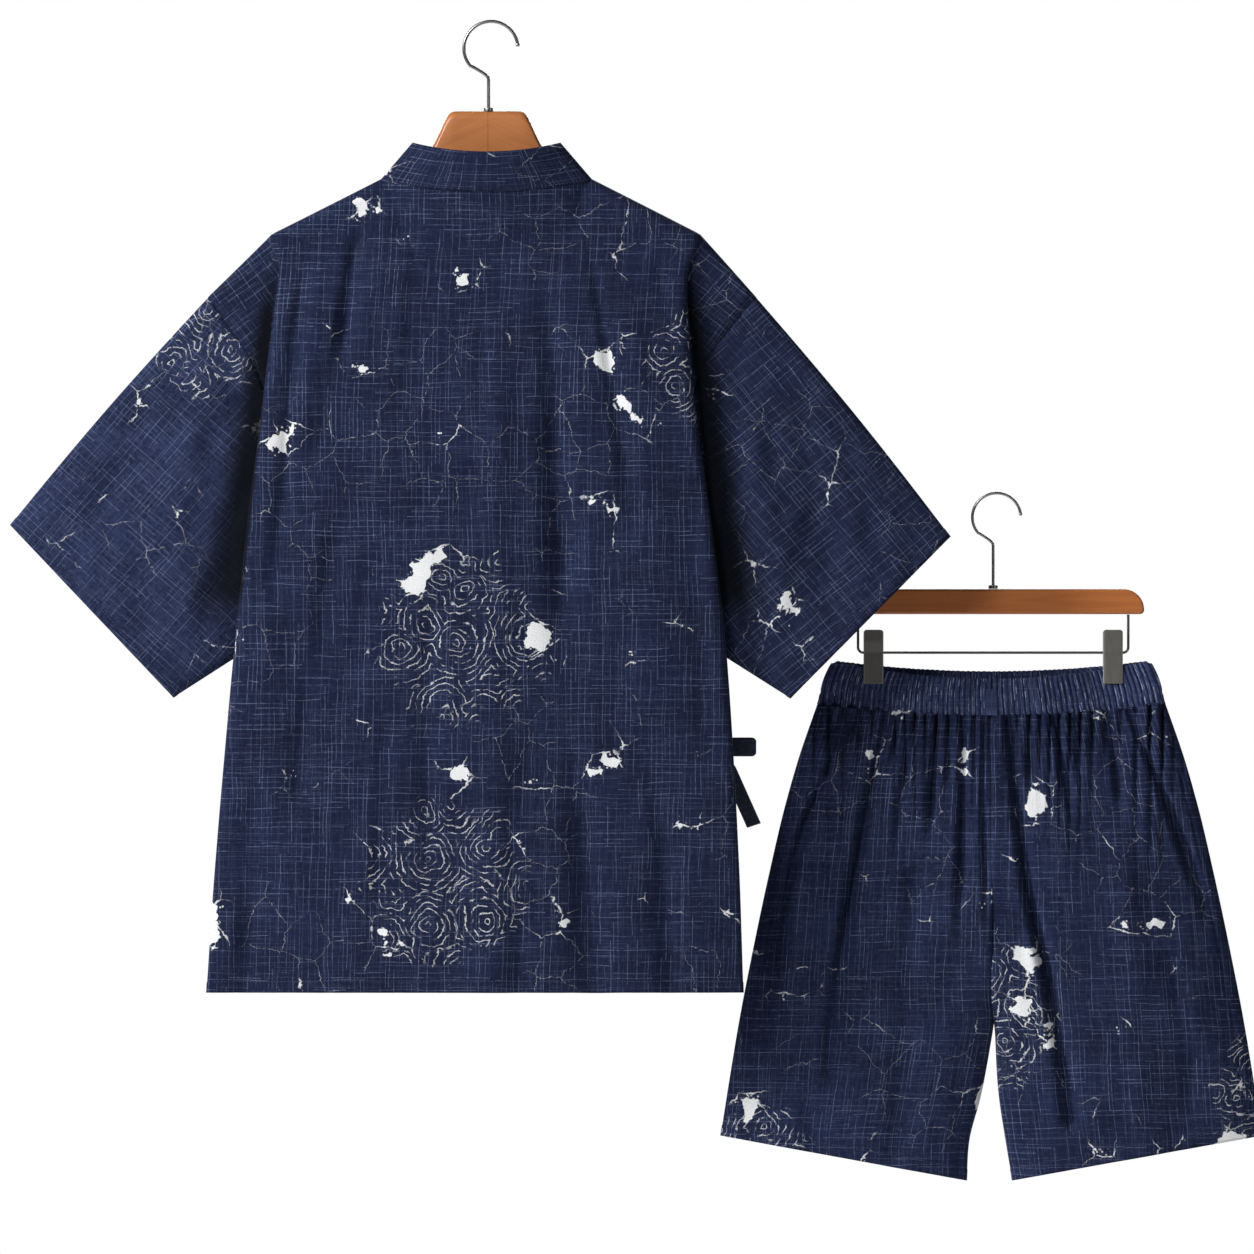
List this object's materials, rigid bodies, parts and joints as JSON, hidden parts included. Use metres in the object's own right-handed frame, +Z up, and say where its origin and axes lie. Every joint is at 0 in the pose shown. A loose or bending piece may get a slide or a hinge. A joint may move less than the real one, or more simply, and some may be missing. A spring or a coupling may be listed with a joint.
{
  "type": "jinbei jacket and shorts set on wooden hangers",
  "caption": "Short-sleeved wrap jacket with collar band and side ties on a shaped wooden hanger, with matching gathered shorts on a clip hanger.",
  "frame": {"origin": "where the jacket hanger's hook bears on a rail, at the top of the inside of its bow", "axes": "+Z up; +X towards the wearer's right side and the shorts; the garment's back, which the picture shows, faces -Y"},
  "size_m": [1.1914, 0.1363, 1.1044],
  "materials": {
    "navy_cloth": "matt navy slub cotton with a pale cross weave and an off-white print",
    "waistband": "navy slub cotton drawn into fine ribs",
    "tie_tape": "plain dark navy tape",
    "red_beech": "satin varnish",
    "brown_beech": "satin varnish",
    "nickel_wire": "bright nickel",
    "clip_metal": "dark grey, half matt"
  },
  "bodies": {
    "root": {"jacket_back": "navy_cloth", "jacket_front_left": "navy_cloth", "jacket_front_right": "navy_cloth", "jacket_sleeve_left": "navy_cloth", "jacket_sleeve_right": "navy_cloth", "jacket_collar": "navy_cloth", "tie_knot": "tie_tape", "tie_loop_outer": "tie_tape", "tie_loop_inner": "tie_tape", "tie_tail_outer": "tie_tape", "tie_tail_inner": "tie_tape", "tie_strap_front": "tie_tape", "tie_strap_side": "tie_tape", "jacket_hanger_wood": "red_beech", "jacket_hanger_hook": "nickel_wire", "jacket_hanger_ferrule": "nickel_wire", "shorts_leg_left": "navy_cloth", "shorts_leg_right": "navy_cloth", "shorts_waistband": "waistband", "shorts_hanger_bar": "brown_beech", "shorts_hanger_hook": "nickel_wire", "shorts_hanger_ferrule": "nickel_wire", "shorts_hanger_wire": "nickel_wire", "clip_left_near": "clip_metal", "clip_left_far": "clip_metal", "clip_left_barrel": "nickel_wire", "clip_right_near": "clip_metal", "clip_right_far": "clip_metal", "clip_right_barrel": "nickel_wire"}
  },
  "joints": []
}
